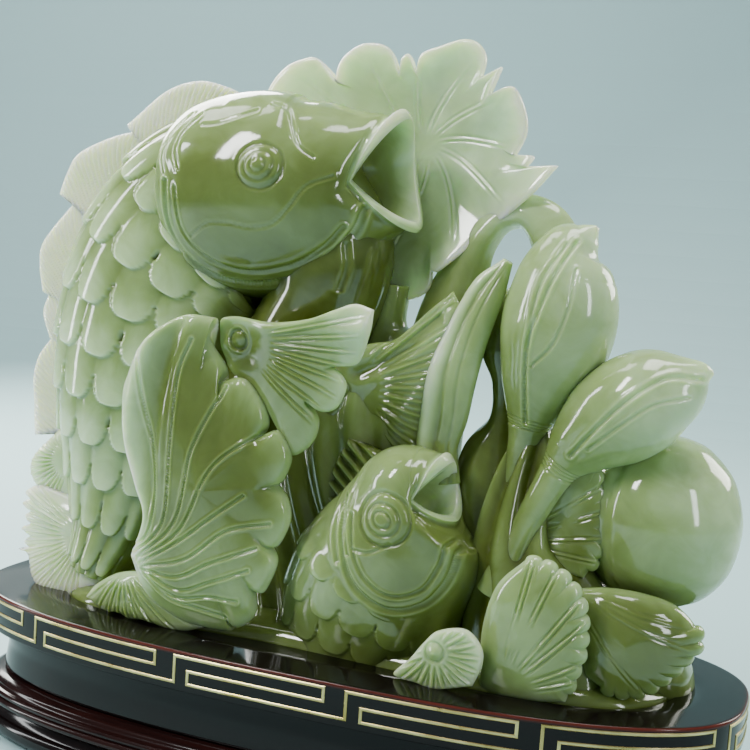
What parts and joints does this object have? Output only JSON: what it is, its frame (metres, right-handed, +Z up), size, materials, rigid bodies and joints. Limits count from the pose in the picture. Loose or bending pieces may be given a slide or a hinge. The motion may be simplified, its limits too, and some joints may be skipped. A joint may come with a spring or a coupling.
{
  "type": "jade figurine on stand",
  "caption": "Carved jade sculpture of two fish among lotus leaves, buds and a seed pod, standing in the recess of an oval lacquered wooden stand with a brass fret around its edge.",
  "frame": {"origin": "centre of the stand's footprint, on the surface it stands on", "axes": "+X along the stand's long axis, +Y to the back of the carving, +Z up"},
  "size_m": [0.302, 0.121, 0.281],
  "materials": {
    "jade": "polished",
    "pale_jade": "polished",
    "dark_jade": "polished",
    "lacquer": "high gloss lacquer",
    "brass": "satin"
  },
  "bodies": {
    "stand": {"deck_board": "lacquer", "fret_inlay": "brass", "waist": "lacquer", "bead_moulding": "lacquer", "skirt_moulding": "lacquer", "foot_1": "lacquer", "foot_2": "lacquer", "foot_3": "lacquer", "foot_4": "lacquer", "foot_5": "lacquer", "foot_6": "lacquer"},
    "carving": {"foot_rock": "dark_jade", "middle_rock": "dark_jade", "right_rock": "dark_jade", "big_carp_head": "jade", "big_carp_body": "jade", "big_carp_breast": "dark_jade", "big_carp_dorsal_fin": "pale_jade", "big_carp_tail_fin": "pale_jade", "big_carp_pectoral_fin": "pale_jade", "front_lotus_leaf": "pale_jade", "foot_leaf": "jade", "back_lotus_leaf": "jade", "arch_stem": "jade", "stem_cluster": "dark_jade", "blade_leaf": "pale_jade", "upper_bud": "jade", "lower_bud": "jade", "seed_pod": "jade", "pod_leaf": "jade", "front_serrated_leaf": "pale_jade", "right_serrated_leaf": "pale_jade", "small_carp_body": "jade", "small_carp_dorsal_fin": "jade", "small_carp_pectoral_fin": "pale_jade", "rear_fin": "jade"}
  },
  "joints": [
    {"name": "carving_lift", "type": "slide", "parent": "stand", "child": "carving", "axis": [0, 0, 1], "range_m": [0, 0.03]}
  ]
}
